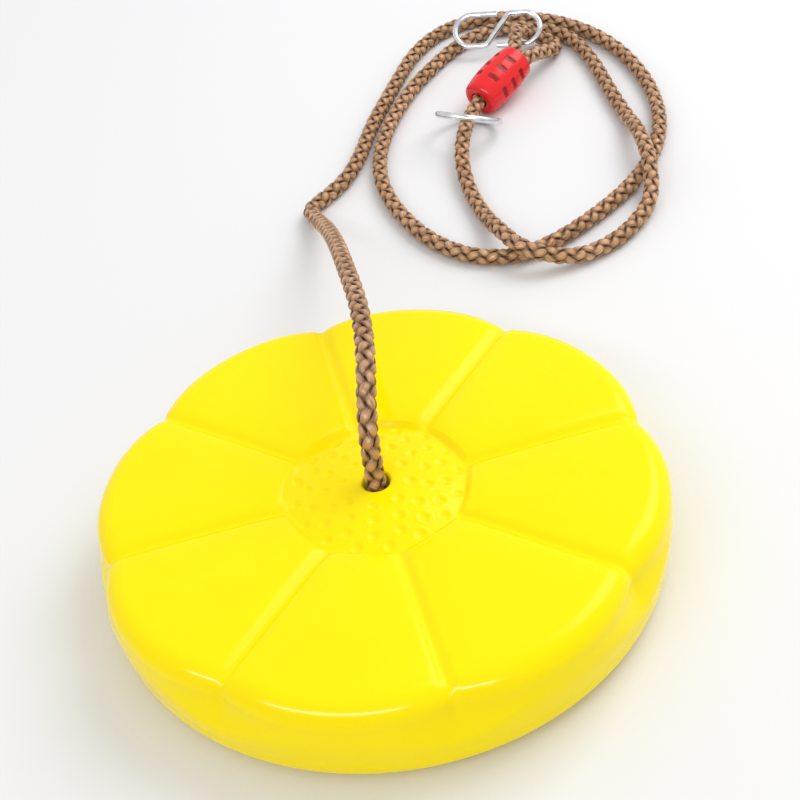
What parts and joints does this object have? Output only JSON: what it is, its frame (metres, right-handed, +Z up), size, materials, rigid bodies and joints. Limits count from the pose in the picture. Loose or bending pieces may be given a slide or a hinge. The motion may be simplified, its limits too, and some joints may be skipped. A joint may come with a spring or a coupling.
{
  "type": "disc rope swing seat",
  "caption": "Flower-shaped moulded disc swing seat on a single braided rope, with a rope-end barrel, a sliding steel ring and an S-hook.",
  "frame": {"origin": "centre of the seat's flat underside, below the rope hole", "axes": "+Z up out of the seat along the rope hole; +Y towards the coiled rope; a petal's middle points along +X and +Y"},
  "size_m": [0.2798, 0.6819, 0.1028],
  "materials": {
    "seat_plastic": "blow-moulded polyethylene with a soft gloss",
    "rope_fibre": "braided multifilament with a silky sheen",
    "barrel_plastic": "moulded, glossy",
    "zinc_steel": "bright zinc plated wire",
    "crimp_steel": "plain pressed clip"
  },
  "bodies": {
    "seat": {"seat_disc": "seat_plastic"},
    "washer": {"seat_washer": "zinc_steel"},
    "rope_line": {"rope": "rope_fibre", "rope_stem": "rope_fibre", "stopper_knot": "rope_fibre", "rope_crimp": "crimp_steel", "barrel_shell_upper": "barrel_plastic", "barrel_shell_lower": "barrel_plastic"},
    "ring": {"hanging_ring": "zinc_steel"},
    "hook": {"s_hook": "zinc_steel"}
  },
  "joints": [
    {"name": "rope_draw", "type": "slide", "parent": "seat", "child": "washer", "axis": [0, 0, 1], "range_m": [0, 0.0043]},
    {"name": "seat_spin", "type": "hinge", "parent": "washer", "child": "rope_line", "pos_m": [0, 0, 0.026], "axis": [0, 0, 1], "continuous": true},
    {"name": "ring_slide", "type": "slide", "parent": "rope_line", "child": "ring", "axis": [0, -1, 0], "range_m": [-0.004, 0.028]},
    {"name": "hook_swing", "type": "hinge", "parent": "rope_line", "child": "hook", "pos_m": [0.02375, 0.49553, 0.0158], "axis": [0.4021, 0.7273, -0.5562], "range_deg": [0, 60]}
  ]
}
